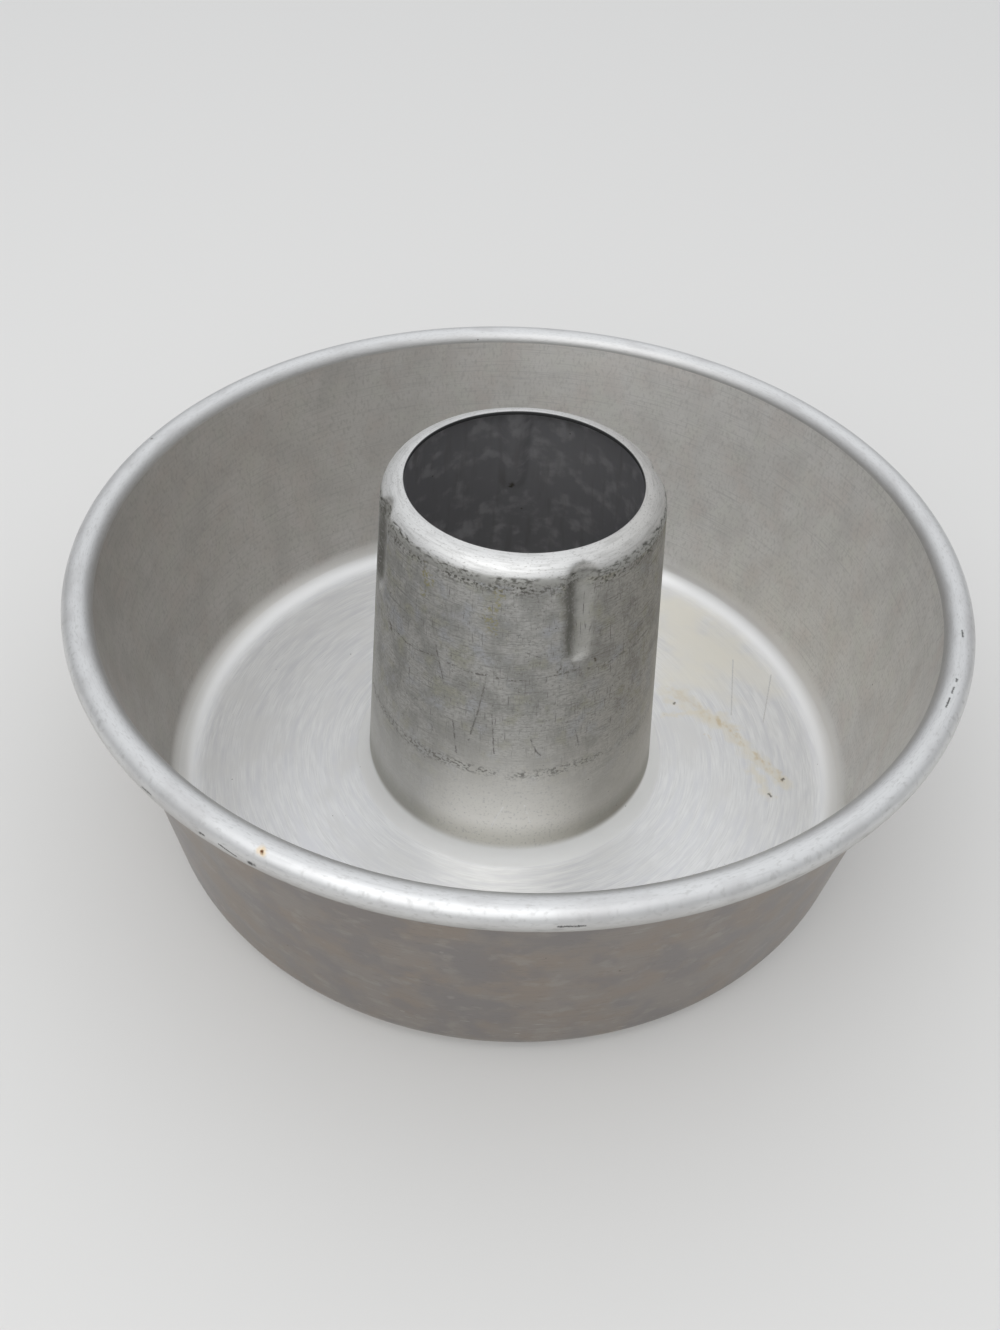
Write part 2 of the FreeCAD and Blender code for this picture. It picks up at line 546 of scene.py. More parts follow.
# %% [markdown]
# ## Effects that the finishes share
#
# Four effects make nearly all of the wear, and each is a node group:
#
# - **grain** is noise that can be stretched round the pan or along its section. Long and thin it gives
#   turning lines, upright and thin it gives scratches, and broad it gives stains.
# - **specks** are small dots, some cells of a Voronoi pattern, for pits and burnt-on crumbs.
# - **band** is a wavering belt at one height, for the rings that other pans and knives leave.
# - **smear** is a ragged mark from one point to another, for a single stain, scratch or spot in its own
#   place.
#
# The way along the section is distance from the axis plus height, or minus height on the tube, where
# the section goes down. So it grows steadily from the lip to the rim, and one pattern fits the whole
# sheet.

# %% The shared effects
def new_group(name, output, **inputs):
    """A group with those inputs, as numbers or vectors, and one output. Returns it with its ends."""
    group = bpy.data.node_groups.new(name, "ShaderNodeTree")
    for label, value in inputs.items():
        kind = "NodeSocketVector" if isinstance(value, tuple) else "NodeSocketFloat"
        group.interface.new_socket(name=label, in_out="INPUT", socket_type=kind).default_value = value
    group.interface.new_socket(name=output, in_out="OUTPUT", socket_type="NodeSocketFloat")
    given = group.nodes.new("NodeGroupInput").outputs
    result = group.nodes.new("NodeGroupOutput").inputs[0]
    return group, given, result


def make_grain():
    """Noise whose grain has one size round the pan and another along its section."""
    group, given, result = new_group("grain", "Grain", Round=0.01, Along=0.01, Detail=3.0, Seed=0.0)
    place = pan_place(group)
    rise = reckon(group, "SIGN", reckon(group, "SUBTRACT", place.radius, tube_zone_radius))
    way = reckon(group, "MULTIPLY_ADD", rise, place.height, place.radius)
    along = reckon(group, "DIVIDE", way, given["Along"])
    vector = add(group, "CombineXYZ", {
        0: reckon(group, "DIVIDE", place.x, given["Round"]),
        1: reckon(group, "DIVIDE", place.y, given["Round"]),
        2: reckon(group, "ADD", along, given["Seed"]),
    })
    noise = add(group, "TexNoise", {"Vector": vector.outputs[0], "Scale": 1.0, "Detail": given["Detail"]})
    feed(group, noise.outputs[0], result)
    return group


def make_specks():
    """Dots of different sizes in some cells of a grid: Share is the share of cells that have one."""
    group, given, result = new_group("specks", "Specks", Spacing=0.01, Size=0.0005, Share=0.5)
    point = pan_place(group).point
    scale = reckon(group, "DIVIDE", 1.0, given["Spacing"])
    cells = add(group, "TexVoronoi", {"Vector": point, "Scale": scale})
    chance = add(group, "SeparateColor", {0: cells.outputs["Color"]}).outputs[0]
    over = reckon(group, "SUBTRACT", chance, reckon(group, "SUBTRACT", 1.0, given["Share"]))
    share = reckon(group, "DIVIDE", reckon(group, "MAXIMUM", over, 0.0), given["Share"])
    dot = reckon(group, "MULTIPLY", reckon(group, "MULTIPLY", share, given["Size"]), scale)
    inside = reckon(group, "SUBTRACT", dot, cells.outputs["Distance"])
    never_zero = reckon(group, "ADD", dot, 0.0001)
    feed(group, fade(group, reckon(group, "DIVIDE", inside, never_zero), 0.0, 0.5), result)
    return group


def make_band():
    """A belt round the pan at one height, that wavers."""
    group, given, result = new_group("band", "Band", Height=0.05, Width=0.001, Wobble=0.001)
    place = pan_place(group)
    noise = add(group, "TexNoise", {"Vector": place.point, "Scale": 45.0, "Detail": 2.0}).outputs[0]
    waver = reckon(group, "MULTIPLY", reckon(group, "SUBTRACT", noise, 0.5), given["Wobble"])
    above = reckon(group, "SUBTRACT", place.height, given["Height"])
    off = reckon(group, "ABSOLUTE", reckon(group, "ADD", above, waver))
    feed(group, fade(group, reckon(group, "DIVIDE", off, given["Width"]), 1.0, 0.2), result)
    return group


def make_smear():
    """A ragged mark along the line between two points."""
    ends = {"Start": (0, 0, 0), "End": (0, 0, 0.001)}
    group, given, result = new_group("smear", "Smear", **ends, Width=0.001, Ragged=0.5)
    point = pan_place(group).point

    def vector(operation, a, b):
        return add(group, "VectorMath", {0: a, 1: b}, operation=operation)

    line = vector("SUBTRACT", given["End"], given["Start"]).outputs[0]
    gone = vector("SUBTRACT", point, given["Start"]).outputs[0]
    line_squared = vector("DOT_PRODUCT", line, line).outputs["Value"]
    share = reckon(group, "DIVIDE", vector("DOT_PRODUCT", gone, line).outputs["Value"], line_squared)
    held = add(group, "Clamp", {0: share}).outputs[0]
    nearest = add(group, "VectorMath", {0: line, "Scale": held}, operation="SCALE").outputs[0]
    off = vector("DISTANCE", gone, nearest).outputs["Value"]
    noise_scale = reckon(group, "DIVIDE", 1.0, given["Width"])
    noise = add(group, "TexNoise", {"Vector": point, "Scale": noise_scale, "Detail": 3.0}).outputs[0]
    rag = reckon(group, "MULTIPLY", reckon(group, "SUBTRACT", noise, 0.5), given["Ragged"])
    widths_off = reckon(group, "DIVIDE", off, given["Width"])
    reach = reckon(group, "ADD", widths_off, reckon(group, "MULTIPLY", rag, 2.0))
    feed(group, fade(group, reach, 1.0, 0.0), result)
    return group


grain = make_grain()
specks = make_specks()
band = make_band()
smear = make_smear()
print("effects:", [group.name for group in bpy.data.node_groups])


# %% Helpers that lay the effects
def grained(finish, round_pan, along, levels, detail, seed=0.0):
    """A mask of grain, its sizes round the pan and along the section in millimetres, between two levels."""
    noise = finish.effect(grain, Round=round_pan * mm, Along=along * mm, Detail=detail, Seed=seed)
    return finish.fade(noise, *levels)


def on_pan(angle, radius, height):
    """The point at an angle, in degrees from the X axis, and at a radius and a height in millimetres."""
    turn = math.radians(angle)
    return Vector((radius * math.cos(turn), radius * math.sin(turn), height)) * mm


def mark(finish, start, end, width, ragged, colour, share=1.0, where=1.0, roughness=None):
    """Lay a smear from one point to another, its width in millimetres, only where a mask allows."""
    drawn = finish.effect(smear, Start=start, End=end, Width=width * mm, Ragged=ragged)
    finish.layer(finish.both(drawn, where), colour=colour, roughness=roughness, share=share)


# %% [markdown]
# ## Floor of the pan
#
# The floor is scrubbed after every cake, always round the tube, so short fine strokes cover it and
# catch the lamp. The shader's highlights are stretched across them, which gives the bright wedge of
# turned metal. A thin tan stain has run across the right side, with a few burnt crumbs, two faint
# scratches and a warm tint nearby.

# %% Finish the floor
bare_metal = (0.95, 0.95, 0.94)
burnt = (0.16, 0.14, 0.11)

scrubbed = Finish(finishes["floor_scrubbed"], bare_metal, 0.46)
strokes = grained(scrubbed, 7, 0.32, levels=(0.34, 0.72), detail=5.0)
scrubbed.layer(strokes, colour=(0.83, 0.83, 0.825), roughness=0.50)
swathes = grained(scrubbed, 17, 1.8, levels=(0.40, 0.74), detail=7.0, seed=8.0)
scrubbed.layer(swathes, colour=(0.80, 0.80, 0.81), roughness=0.42)
clouds = grained(scrubbed, 24, 28, levels=(0.46, 0.74), detail=4.0, seed=3.0)
scrubbed.layer(clouds, colour=(0.87, 0.865, 0.85), roughness=0.50)
warm_tint = (0.95, 0.92, 0.83)
stain_edge = (0.88, 0.83, 0.71)
stain_tan = (0.72, 0.61, 0.42)
faint_cut = (0.70, 0.69, 0.67)
floor_level = sheet / mm
fitful = grained(scrubbed, 3, 3, levels=(0.40, 0.66), detail=8.0, seed=21.0)
# Each mark: angle and radius where it starts and ends, width, raggedness, share and colour
floor_marks = (
    ((49, 101), (31, 80), 20.0, 1.2, 0.9, warm_tint),
    ((36, 98), (23, 98), 12.0, 1.2, 0.5, warm_tint),
    ((18.0, 56.0), (16.3, 73.0), 1.6, 1.2, 0.5, stain_edge),
    ((27.7, 64.9), (12.9, 74.0), 6.0, 1.4, 0.5, stain_edge),
    ((12.9, 74.0), (-5.3, 91.8), 5.0, 1.4, 0.6, stain_edge),
    ((24.0, 61.0), (15.0, 69.0), 3.0, 1.2, 0.5, stain_edge),
    ((-3.0, 82.0), (-10.4, 88.4), 3.0, 1.2, 0.6, stain_edge),
)
drops = (
    ((27.7, 64.9), (12.9, 74.0), 3.0, 1.4, 0.3, stain_tan),
    ((12.9, 74.0), (8.0, 78.5), 3.0, 1.0, 0.7, stain_tan),
    ((8.0, 78.5), (0.8, 84.1), 2.4, 1.4, 0.5, stain_tan),
    ((0.8, 84.1), (-5.3, 91.8), 2.6, 1.2, 0.7, stain_tan),
    ((7.8, 68.4), (5.8, 69.8), 1.2, 1.6, 0.6, stain_tan),
)
scratches_and_crumbs = (
    ((30.4, 94.1), (14, 80.1), 0.35, 0.9, 1.0, faint_cut),
    ((23.4, 102.9), (10.8, 90.3), 0.35, 0.9, 1.0, faint_cut),
    ((21.9, 62.2), (22.4, 62.8), 0.6, 0.8, 1.0, burnt),
    ((-10.2, 88.2), (-10.7, 88.8), 0.8, 0.8, 1.0, burnt),
    ((-5.8, 92.4), (-5.4, 92.9), 0.7, 0.8, 1.0, burnt),
)


def mark_floor(marks, where=1.0):
    """Lay marks between two places given as angle and radius, only where a mask allows."""
    for (start_turn, start_radius), (end_turn, end_radius), width, ragged, share, colour in marks:
        mark_start = on_pan(start_turn, start_radius, floor_level)
        mark_end = on_pan(end_turn, end_radius, floor_level)
        mark(scrubbed, mark_start, mark_end, width, ragged, colour, share, where)


mark_floor(floor_marks)
mark_floor(drops, where=fitful)
mark_floor(scratches_and_crumbs)
up_the_bend = scrubbed.fade(scrubbed.place.height, 1.3 * mm, 3.0 * mm)
scrubbed.layer(up_the_bend, colour=(0.86, 0.855, 0.84), roughness=0.36)
pits = scrubbed.effect(specks, Spacing=5 * mm, Size=0.32 * mm, Share=0.4)
scrubbed.layer(pits, colour=(0.40, 0.39, 0.37), height=-0.02 * mm)
scrubbed.close(turned=0.8)
print("floor finish, nodes:", len(scrubbed.tree.nodes))

# %% [markdown]
# ## Wall of the pan
#
# Heat and grease have dulled the inside of the wall, and washing leaves cloudy patches, some pinkish
# and some greenish. Broad noise gives them, with a long fade, because such patches have no sharp edge.
# One side is darkened as painted shade. That is a tint which multiplies what lies under it, so that
# the patches still show there. Towards the floor the scrubbing brush reaches again, so the wall gets
# paler and smoother.

# %% Finish the wall
baked = Finish(finishes["wall_baked"], (0.745, 0.73, 0.705), 0.50)
patches = grained(baked, 13, 16, levels=(0.36, 0.70), detail=8.0)
baked.layer(patches, colour=(0.60, 0.583, 0.557), roughness=0.53, share=0.6)
pinkish = grained(baked, 11, 15, levels=(0.42, 0.72), detail=7.0, seed=11.0)
baked.layer(pinkish, colour=(0.69, 0.64, 0.60), share=0.55)
greenish = grained(baked, 9, 12, levels=(0.44, 0.72), detail=7.0, seed=16.0)
baked.layer(greenish, colour=(0.72, 0.72, 0.67), share=0.6)
fine = grained(baked, 0.9, 1.8, levels=(0.46, 0.74), detail=6.0, seed=19.0)
baked.layer(fine, colour=(0.50, 0.485, 0.46), share=0.5)
lines = grained(baked, 16, 0.5, levels=(0.48, 0.78), detail=4.0)
baked.layer(lines, colour=(0.54, 0.53, 0.515), share=0.6)
# Painted shade: one side of the wall is darker, as a tint that multiplies what lies under it.
wall_painted_shade_side = baked.fade(baked.place.x, 30 * mm, -110 * mm)
baked.layer(wall_painted_shade_side, colour=(0.67, 0.655, 0.64), blend="MULTIPLY")
near_floor = baked.fade(baked.place.height, 12 * mm, 4.5 * mm)
baked.layer(near_floor, colour=(0.84, 0.83, 0.81), roughness=0.36)
crumbs = baked.effect(specks, Spacing=6 * mm, Size=0.35 * mm, Share=0.35)
baked.layer(crumbs, colour=(0.30, 0.28, 0.25), roughness=0.6)
baked.close(turned=0.5)
print("wall finish, nodes:", len(baked.tree.nodes))

# %% [markdown]
# ## Tube
#
# The tube is the most worn part. Knives that free the cake leave scratches, other pans leave two rings,
# and dirt that the sponge can't reach stays in a speckled line below the shoulder. One side is darker
# and warmer, partly as painted shade and partly as tarnish, and the metal gets cleaner downwards, with
# a painted highlight low on the front. The brush that scrubs the floor reaches the foot too and leaves
# the bend matt; its pale colour there is partly a painted highlight, and the dark edge just above it is
# painted shade. The flutes carry painted shade on one flank and along one edge, and painted highlights
# along the bottom and at the lower end. Broad wear comes from the grain, and the scratches and drops
# that can be told apart get their own place.

# %% Finish the tube
def on_tube(angle, height, inwards=0.0):
    """The point of the tube's cake side, or so many millimetres inside it, at an angle and at a height."""
    below_shoulder = shoulder_end.z / mm - height
    return on_pan(angle, shoulder_end.x / mm + below_shoulder * math.tan(tube_draft) - inwards, height)


scuffed = Finish(finishes["tube_scuffed"], (0.64, 0.635, 0.612), 0.54)
shade = grained(scuffed, 8, 10, levels=(0.44, 0.62), detail=6.0, seed=12.0)
scuffed.layer(shade, colour=(0.47, 0.465, 0.445))
blue_grey = grained(scuffed, 7, 9, levels=(0.52, 0.70), detail=6.0, seed=17.0)
scuffed.layer(blue_grey, colour=(0.58, 0.59, 0.61))
greenish = grained(scuffed, 6, 7, levels=(0.52, 0.70), detail=6.0, seed=23.0)
scuffed.layer(greenish, colour=(0.53, 0.525, 0.445))
tarnish = grained(scuffed, 1.2, 0.6, levels=(0.36, 0.70), detail=8.0)
scuffed.layer(tarnish, colour=(0.37, 0.36, 0.335), roughness=0.60, share=0.55)
grit = grained(scuffed, 0.7, 0.7, levels=(0.56, 0.74), detail=4.0, seed=2.0)
scuffed.layer(grit, colour=(0.28, 0.27, 0.25), roughness=0.6, share=0.8)
turning = grained(scuffed, 10, 0.4, levels=(0.52, 0.74), detail=5.0, seed=26.0)
scuffed.layer(turning, colour=(0.32, 0.315, 0.30), share=0.85)
# Painted shade on one flank and one edge of each flute, and painted highlights along its bottom and at its
# lower end. Each mark: degrees from the flute, height and depth at both ends, width, raggedness, colour and
# share
flute_shade_and_highlights = (
    ((-5.4, 109, 1.0), (-4.4, 83, 1.0), 3.8, 0.5, (0.25, 0.245, 0.225), 1.0),
    ((7.0, 109, 1.0), (5.6, 83, 1.0), 1.2, 0.5, (0.36, 0.355, 0.335), 1.0),
    ((1.6, 102, 1.8), (1.0, 83, 1.4), 4.2, 0.8, (0.68, 0.68, 0.65), 0.7),
    ((-1.6, 79.4, 0.4), (2.6, 81.8, 0.4), 1.3, 0.8, (0.76, 0.76, 0.73), 0.5),
)
for angle in flute_angles:
    turn = math.degrees(angle)
    for (start_side, *start), (end_side, *end), width, ragged, colour, share in flute_shade_and_highlights:
        top = on_tube(turn + start_side, *start)
        bottom = on_tube(turn + end_side, *end)
        mark(scuffed, top, bottom, width, ragged, colour, share, roughness=0.56)
upright = grained(scuffed, 0.4, 13, levels=(0.58, 0.74), detail=3.0, seed=9.0)
scuffed.layer(upright, colour=(0.30, 0.29, 0.275))
cleaner = scuffed.fade(scuffed.place.height, 62 * mm, 14 * mm)
scuffed.layer(cleaner, colour=(0.66, 0.65, 0.62), roughness=0.38, share=0.75)
# Painted highlight: the lower tube is paler on its front, where light gleams on it.
painted_highlight_front = scuffed.fade(scuffed.place.y, -36 * mm, -47 * mm)
scuffed.layer(scuffed.both(cleaner, painted_highlight_front), colour=(1.0, 0.98, 0.93), share=0.9)
rubbed = grained(scuffed, 0.8, 1.0, levels=(0.52, 0.74), detail=5.0, seed=5.0)
scuffed.layer(rubbed, colour=(0.60, 0.595, 0.58), roughness=0.46, share=0.6)
# Partly painted shade and partly tarnish: one side of the tube is darker and warmer.
tube_shade_and_tarnish_side = scuffed.fade(scuffed.place.x, 0.0, 42 * mm)
scuffed.layer(tube_shade_and_tarnish_side, colour=(0.77, 0.745, 0.705), blend="MULTIPLY")
breaks = grained(scuffed, 0.9, 0.8, levels=(0.46, 0.60), detail=6.0, seed=2.0)
ring_gaps = grained(scuffed, 7, 7, levels=(0.30, 0.52), detail=4.0, seed=14.0)
rings = (
    (74.5, 0.55, 8.0, (0.26, 0.25, 0.23)),
    (38.5, 2.6, 6.0, (0.34, 0.33, 0.305)),
    (105.5, 4.5, 4.0, (0.15, 0.145, 0.125)),
)
for height, width, wobble, colour in rings:
    ring = scuffed.effect(band, Height=height * mm, Width=width * mm, Wobble=wobble * mm)
    scuffed.layer(scuffed.both(scuffed.both(ring, breaks), ring_gaps), colour=colour, roughness=0.6)
knife_cut = (0.27, 0.26, 0.245)
fresh_cut = (1.0, 0.99, 0.97)
olive = (0.45, 0.42, 0.27)
# Each mark: angle and height where it starts and ends, width, raggedness and colour
tube_marks = (
    ((-100.2, 72), (-102.4, 61), 0.4, 1.0, knife_cut),
    ((-102.4, 61), (-105.5, 49.3), 0.45, 0.8, knife_cut),
    ((-112, 55), (-110, 43), 0.4, 1.0, knife_cut),
    ((-97, 61), (-95.5, 46), 0.35, 1.0, knife_cut),
    ((-82, 52), (-80, 47.5), 0.4, 0.8, knife_cut),
    ((-80, 47.5), (-78, 45.5), 0.5, 0.8, knife_cut),
    ((-64.7, 53), (-63, 46), 0.4, 1.0, knife_cut),
    ((-121, 80), (-117, 69), 0.35, 1.0, knife_cut),
    ((-86, 84), (-80, 82), 0.35, 0.8, knife_cut),
    ((-91, 24), (-95, 15), 0.4, 0.9, fresh_cut),
    ((-83, 25), (-80.5, 17), 0.4, 0.9, fresh_cut),
    ((-148, 74.5), (-147, 73), 1.3, 1.0, burnt),
    ((-72.5, 77.5), (-73.5, 76.5), 0.5, 0.8, burnt),
    ((-58.5, 78), (-58, 77), 0.5, 0.8, burnt),
)
olive_drops = (
    ((-126.3, 102), (-125.8, 95), 2.2),
    ((-97.5, 103), (-97.0, 101), 1.8),
    ((-99.4, 98), (-98.5, 92), 3.0),
)
faint = grained(scuffed, 1.2, 2.4, levels=(0.36, 0.56), detail=5.0, seed=33.0)
for mark_start, mark_end, width, ragged, colour in tube_marks:
    mark(scuffed, on_tube(*mark_start), on_tube(*mark_end), width, ragged, colour, where=faint)
for mark_start, mark_end, width in olive_drops:
    mark(scuffed, on_tube(*mark_start), on_tube(*mark_end), width, 2.0, olive, where=breaks)
# Painted shade: the tube is darker just above the foot.
painted_shade_above_foot = scuffed.fade(scuffed.place.height, 18 * mm, 9 * mm)
scuffed.layer(painted_shade_above_foot, colour=(0.66, 0.655, 0.62), share=0.8, blend="MULTIPLY")
# The bend at the foot is scrubbed matt like the floor, and its pale colour is partly a painted highlight.
scrubbed_foot_and_highlight = scuffed.fade(scuffed.place.height, 8.0 * mm, 4.6 * mm)
scuffed.layer(scrubbed_foot_and_highlight, colour=(0.95, 0.95, 0.94), roughness=0.80)
crumbs = scuffed.effect(specks, Spacing=3.5 * mm, Size=0.4 * mm, Share=0.35)
scuffed.layer(crumbs, colour=(0.28, 0.27, 0.245), roughness=0.65)
scuffed.close(turned=0.5)
print("tube finish, nodes:", len(scuffed.tree.nodes))

# %% [markdown]
# ## Lip and rim
#
# Hands, cloths and the table rub the lip of the tube and the rolled rim, so these stay the brightest. The
# lip is rubbed along its round, and one side of it is darkened as painted shade. A broken line of dirt
# runs round it where its curve ends, an arc of painted shade lies over the top of each flute, and the
# raw edge of the mouth is painted near black as painted shadow. The rim has grey smudges, small nicks
# and a few dark scuffs where it was knocked. Its lower half and its inner side are darkened as painted
# shade, with a dark line of painted shade under the bead. One rust spot shows where water has reached
# the steel wire through a pinhole.

# %% Finish the lip and the rim
rust = (0.20, 0.075, 0.03)
rust_halo = (0.70, 0.57, 0.40)

lip = Finish(finishes["lip_rubbed"], (0.71, 0.705, 0.69), 0.48)
dulled = grained(lip, 7, 0.9, levels=(0.42, 0.70), detail=7.0)
lip.layer(dulled, colour=(0.55, 0.545, 0.53), roughness=0.52, share=0.75)
lip_grit = grained(lip, 0.8, 0.5, levels=(0.54, 0.74), detail=4.0, seed=2.0)
lip.layer(lip_grit, colour=(0.42, 0.41, 0.39), roughness=0.55, share=0.8)
# Painted shade: one side of the lip is darker.
lip_painted_shade_side = lip.fade(lip.place.x, 4 * mm, 38 * mm)
lip.layer(lip_painted_shade_side, colour=(0.78, 0.765, 0.745), blend="MULTIPLY")
lip_tint = lip.fade(lip.place.height, 108.1 * mm, 106.8 * mm)
lip.layer(lip_tint, colour=(0.47, 0.465, 0.44), roughness=0.55)
lip_dirt = grained(lip, 0.9, 0.8, levels=(0.47, 0.60), detail=6.0, seed=2.0)
low_on_lip = lip.fade(lip.place.height, 107.9 * mm, 106.8 * mm)
gaps = grained(lip, 7, 7, levels=(0.28, 0.50), detail=4.0, seed=14.0)
dirt_on_lip = lip.both(lip.both(lip_dirt, low_on_lip), gaps)
lip.layer(dirt_on_lip, colour=(0.17, 0.165, 0.145), roughness=0.6, share=0.7)
dirt_line = lip.effect(band, Height=107.1 * mm, Width=0.9 * mm, Wobble=3.0 * mm)
line_gaps = grained(lip, 2.2, 1.2, levels=(0.46, 0.62), detail=9.0, seed=27.0)
lip.layer(lip.both(lip.both(dirt_line, line_gaps), gaps), colour=(0.13, 0.127, 0.112), roughness=0.65)
# Points of the arc of painted shade over a flute: degrees from the flute, radius and height
flute_top_shade = ((-6.6, 39.7, 105.4), (-4.0, 38.6, 108.4), (0.5, 37.4, 109.6))
for angle in flute_angles:
    arc = [on_pan(math.degrees(angle) + side, radius, height) for side, radius, height in flute_top_shade]
    for arc_start, arc_end in zip(arc, arc[1:]):
        mark(lip, arc_start, arc_end, 1.3, 0.6, (0.36, 0.355, 0.335), share=0.8)
# Painted shadow: the raw edge of the mouth is painted near black.
mouth_edge_painted_shadow = lip.fade(lip.place.radius, 33.3 * mm, 33.1 * mm)
lip.layer(mouth_edge_painted_shadow, colour=(0.08, 0.08, 0.08), roughness=0.6)
lip.close(turned=0.3)

burnished = Finish(finishes["rim_burnished"], (0.68, 0.68, 0.675), 0.42)
hand_haze = grained(burnished, 14, 4, levels=(0.46, 0.72), detail=4.0)
burnished.layer(hand_haze, colour=(0.60, 0.595, 0.59), roughness=0.46)
flecks = grained(burnished, 1.6, 0.4, levels=(0.50, 0.74), detail=5.0, seed=4.0)
burnished.layer(flecks, colour=(0.52, 0.515, 0.505), roughness=0.48, share=0.7)
rim_lines = grained(burnished, 18, 0.3, levels=(0.54, 0.76), detail=3.0)
burnished.layer(rim_lines, colour=(0.58, 0.58, 0.575), share=0.7)
# Painted shade: the lower half of the bead is darker. The grey smudges lie there too.
painted_shade_low_on_bead = burnished.fade(burnished.place.height, 88.2 * mm, 84.0 * mm)
burnished.layer(painted_shade_low_on_bead, colour=(0.44, 0.425, 0.405), roughness=0.42, share=0.9)
smudges = grained(burnished, 6, 2.0, levels=(0.54, 0.70), detail=7.0, seed=30.0)
burnished.layer(burnished.both(smudges, painted_shade_low_on_bead), colour=(0.27, 0.265, 0.255), roughness=0.5, share=0.7)
# Painted shade: a dark line at the bottom of the bead.
painted_shade_under_bead = burnished.fade(burnished.place.height, 85.2 * mm, 83.9 * mm)
burnished.layer(painted_shade_under_bead, colour=(0.17, 0.145, 0.12), roughness=0.6)
# Painted shade: the inner side of the bead is darker.
painted_shade_inside_bead = burnished.fade(burnished.place.radius, 121.2 * mm, 119.2 * mm)
burnished.layer(painted_shade_inside_bead, colour=(0.40, 0.39, 0.375), roughness=0.5, share=0.4)
scuff = (0.13, 0.13, 0.125)
# Each scuff: angle, radius and height where it starts and ends, and width
rim_scuffs = (
    ((-115.0, 127.0, 86.4), (-115.6, 127.0, 86.4), 0.8),
    ((-117.2, 127.0, 86.2), (-119.4, 126.9, 87.0), 0.35),
    ((-121.4, 126.9, 86.9), (-122.0, 126.9, 86.8), 0.5),
    ((-129.5, 127.0, 86.8), (-131.0, 127.0, 86.7), 0.5),
    ((-81.8, 126.95, 86.9), (-84.4, 126.95, 87.0), 0.4),
    ((-14.0, 122.4, 90.2), (-15.2, 122.6, 90.2), 0.4),
    ((-23.2, 122.8, 90.2), (-23.6, 122.8, 90.2), 0.5),
    ((-24.8, 122.7, 90.2), (-25.9, 122.6, 90.2), 0.4),
    ((-26.8, 122.6, 90.2), (-28.6, 122.6, 90.2), 0.35),
)
for scuff_start, scuff_end, width in rim_scuffs:
    mark(burnished, on_pan(*scuff_start), on_pan(*scuff_end), width, 0.8, scuff, roughness=0.6)
nicks = burnished.effect(specks, Spacing=9 * mm, Size=0.8 * mm, Share=0.35)
burnished.layer(nicks, colour=(0.26, 0.25, 0.235), roughness=0.6, height=-0.05 * mm)
pinhole_angle = -114.5
pinhole = on_pan(pinhole_angle, 124.95, 89.65)
pinhole_ends = {"Start": pinhole, "End": on_pan(pinhole_angle, 125.325, 89.919)}
halo = burnished.effect(smear, **pinhole_ends, Width=1.7 * mm, Ragged=0.8)
burnished.layer(halo, colour=rust_halo, roughness=0.5)
pit = burnished.effect(smear, **pinhole_ends, Width=0.7 * mm, Ragged=0.8)
burnished.layer(pit, colour=rust, roughness=0.8, height=-0.2 * mm)
burnished.close(turned=0.3)
print("lip and rim finish, nodes:", len(lip.tree.nodes), len(burnished.tree.nodes))

# %% [markdown]
# ## The sides that no cake touches
#
# The inside of the tube is never scrubbed, so it is dark and matt with pale water marks. The outside of
# the wall has a brown-grey tarnish from the oven, darkened further as a painted reflection of dark
# surroundings, with a band of painted shade under the rim and pale scratches low down from the oven's
# shelf.
# The underside is scraped in rings by every surface it has stood on. Inside the curl there is only dull
# oxide.

# %% Finish the bare sides
dull = Finish(finishes["tube_inside_dull"], (0.43, 0.425, 0.435), 0.55)
water_marks = grained(dull, 6, 6, levels=(0.46, 0.68), detail=8.0)
dull.layer(water_marks, colour=(0.64, 0.635, 0.64), roughness=0.50)
runs = grained(dull, 3, 26, levels=(0.50, 0.80), detail=3.0, seed=6.0)
dull.layer(runs, colour=(0.37, 0.36, 0.36), roughness=0.62)
# A dark spot inside the tube at the lower end of the back flute.
mark(dull, on_tube(95.9, 80.3, 2.6), on_tube(95.9, 79.3, 2.6), 1.5, 1.0, burnt, roughness=0.7)
dull_specks = dull.effect(specks, Spacing=7 * mm, Size=0.6 * mm, Share=0.3)
dull.layer(dull_specks, colour=(0.24, 0.23, 0.22))
dull.close()

# The base colour is tarnish, darkened further as a painted reflection of dark surroundings.
tarnish_and_painted_reflection = Finish(finishes["outside_tarnish_and_painted_reflection"], (0.30, 0.272, 0.25), 0.34)
brown = grained(tarnish_and_painted_reflection, 14, 15, levels=(0.42, 0.62), detail=9.0)
tarnish_and_painted_reflection.layer(brown, colour=(0.315, 0.265, 0.222), roughness=0.38, share=0.7)
violet_grey = grained(tarnish_and_painted_reflection, 12, 12, levels=(0.46, 0.64), detail=9.0, seed=8.0)
tarnish_and_painted_reflection.layer(violet_grey, colour=(0.235, 0.222, 0.222), roughness=0.32, share=0.7)
wiped = grained(tarnish_and_painted_reflection, 6, 4.5, levels=(0.54, 0.70), detail=8.0, seed=18.0)
tarnish_and_painted_reflection.layer(wiped, colour=(0.37, 0.345, 0.32), share=0.5)
turning = grained(tarnish_and_painted_reflection, 20, 0.5, levels=(0.50, 0.76), detail=4.0)
tarnish_and_painted_reflection.layer(turning, colour=(0.26, 0.238, 0.218), share=0.7)
shelf_cuts = grained(tarnish_and_painted_reflection, 5, 0.5, levels=(0.66, 0.76), detail=2.0, seed=1.0)
low_on_wall = tarnish_and_painted_reflection.fade(tarnish_and_painted_reflection.place.height, 34 * mm, 8 * mm)
tarnish_and_painted_reflection.layer(tarnish_and_painted_reflection.both(shelf_cuts, low_on_wall), colour=(0.50, 0.475, 0.45), roughness=0.34)
scratches = grained(tarnish_and_painted_reflection, 2.5, 0.4, levels=(0.60, 0.74), detail=3.0, seed=13.0)
tarnish_and_painted_reflection.layer(scratches, colour=(0.20, 0.182, 0.165), share=0.6)
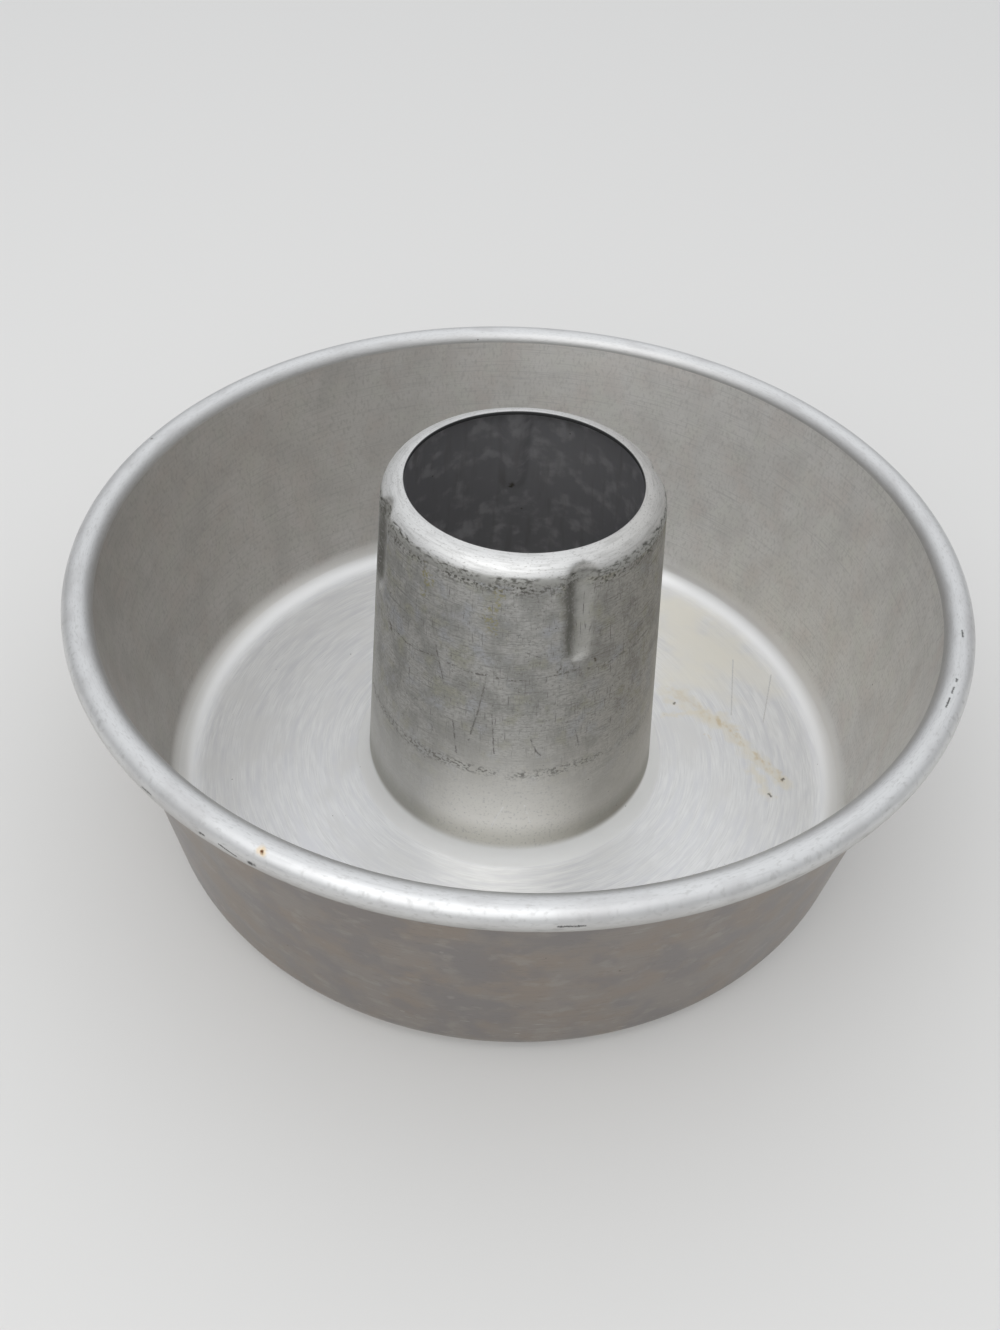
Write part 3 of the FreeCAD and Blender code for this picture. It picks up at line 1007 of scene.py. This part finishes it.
dings = tarnish_and_painted_reflection.effect(specks, Spacing=11 * mm, Size=1.8 * mm, Share=0.35)
tarnish_and_painted_reflection.layer(dings, colour=(0.42, 0.395, 0.37), roughness=0.36, height=-0.08 * mm, share=0.4)
spatter = tarnish_and_painted_reflection.effect(specks, Spacing=6 * mm, Size=0.5 * mm, Share=0.35)
tarnish_and_painted_reflection.layer(spatter, colour=(0.14, 0.125, 0.11))
# Painted shade: the outside gets dark towards the rim, under the bead.
painted_shade_under_rim = tarnish_and_painted_reflection.fade(tarnish_and_painted_reflection.place.height, 73 * mm, 81 * mm)
tarnish_and_painted_reflection.layer(painted_shade_under_rim, colour=(0.13, 0.115, 0.10), roughness=0.5)
tarnish_and_painted_reflection.close(turned=0.6)

scraped = Finish(finishes["underside_scuffed"], (0.42, 0.40, 0.38), 0.42)
stand_rings = grained(scraped, 26, 1.0, levels=(0.44, 0.68), detail=4.0)
scraped.layer(stand_rings, colour=(0.39, 0.375, 0.355), roughness=0.50, height=-0.003 * mm)
heat = grained(scraped, 24, 24, levels=(0.46, 0.70), detail=5.0, seed=5.0)
scraped.layer(heat, colour=(0.37, 0.335, 0.295), roughness=0.52)
scraped.close(turned=0.5)

oxide = Finish(finishes["curl_inside_dull"], (0.30, 0.29, 0.28), 0.6)
crust = grained(oxide, 5, 2, levels=(0.45, 0.65), detail=4.0)
oxide.layer(crust, colour=(0.18, 0.17, 0.15), roughness=0.75)
oxide.close()
print("bare sides, nodes:", len(dull.tree.nodes), len(tarnish_and_painted_reflection.tree.nodes), len(scraped.tree.nodes))

# %% [markdown]
# ## Wire in the rim
#
# The rim is rolled round a hoop of steel wire, which keeps it from bending. Only a sliver of it shows
# through the slit under the curl. Its shape in the measured model is right, so it stays and only gets
# its finish: a dull zinc coat with rust where that has worn through.

# %% Finish the wire
wire = frame["nodes"]["rim_wire"]
zinc = bpy.data.materials.new("wire_zinc")
wire.data.materials.clear()
wire.data.materials.append(zinc)
coat = Finish(zinc, (0.40, 0.40, 0.405), 0.5)
rusted = grained(coat, 8, 3, levels=(0.50, 0.64), detail=5.0)
coat.layer(rusted, colour=rust, roughness=0.85)
coat.close(metallic=0.8)
print("wire finish, nodes:", len(coat.tree.nodes))
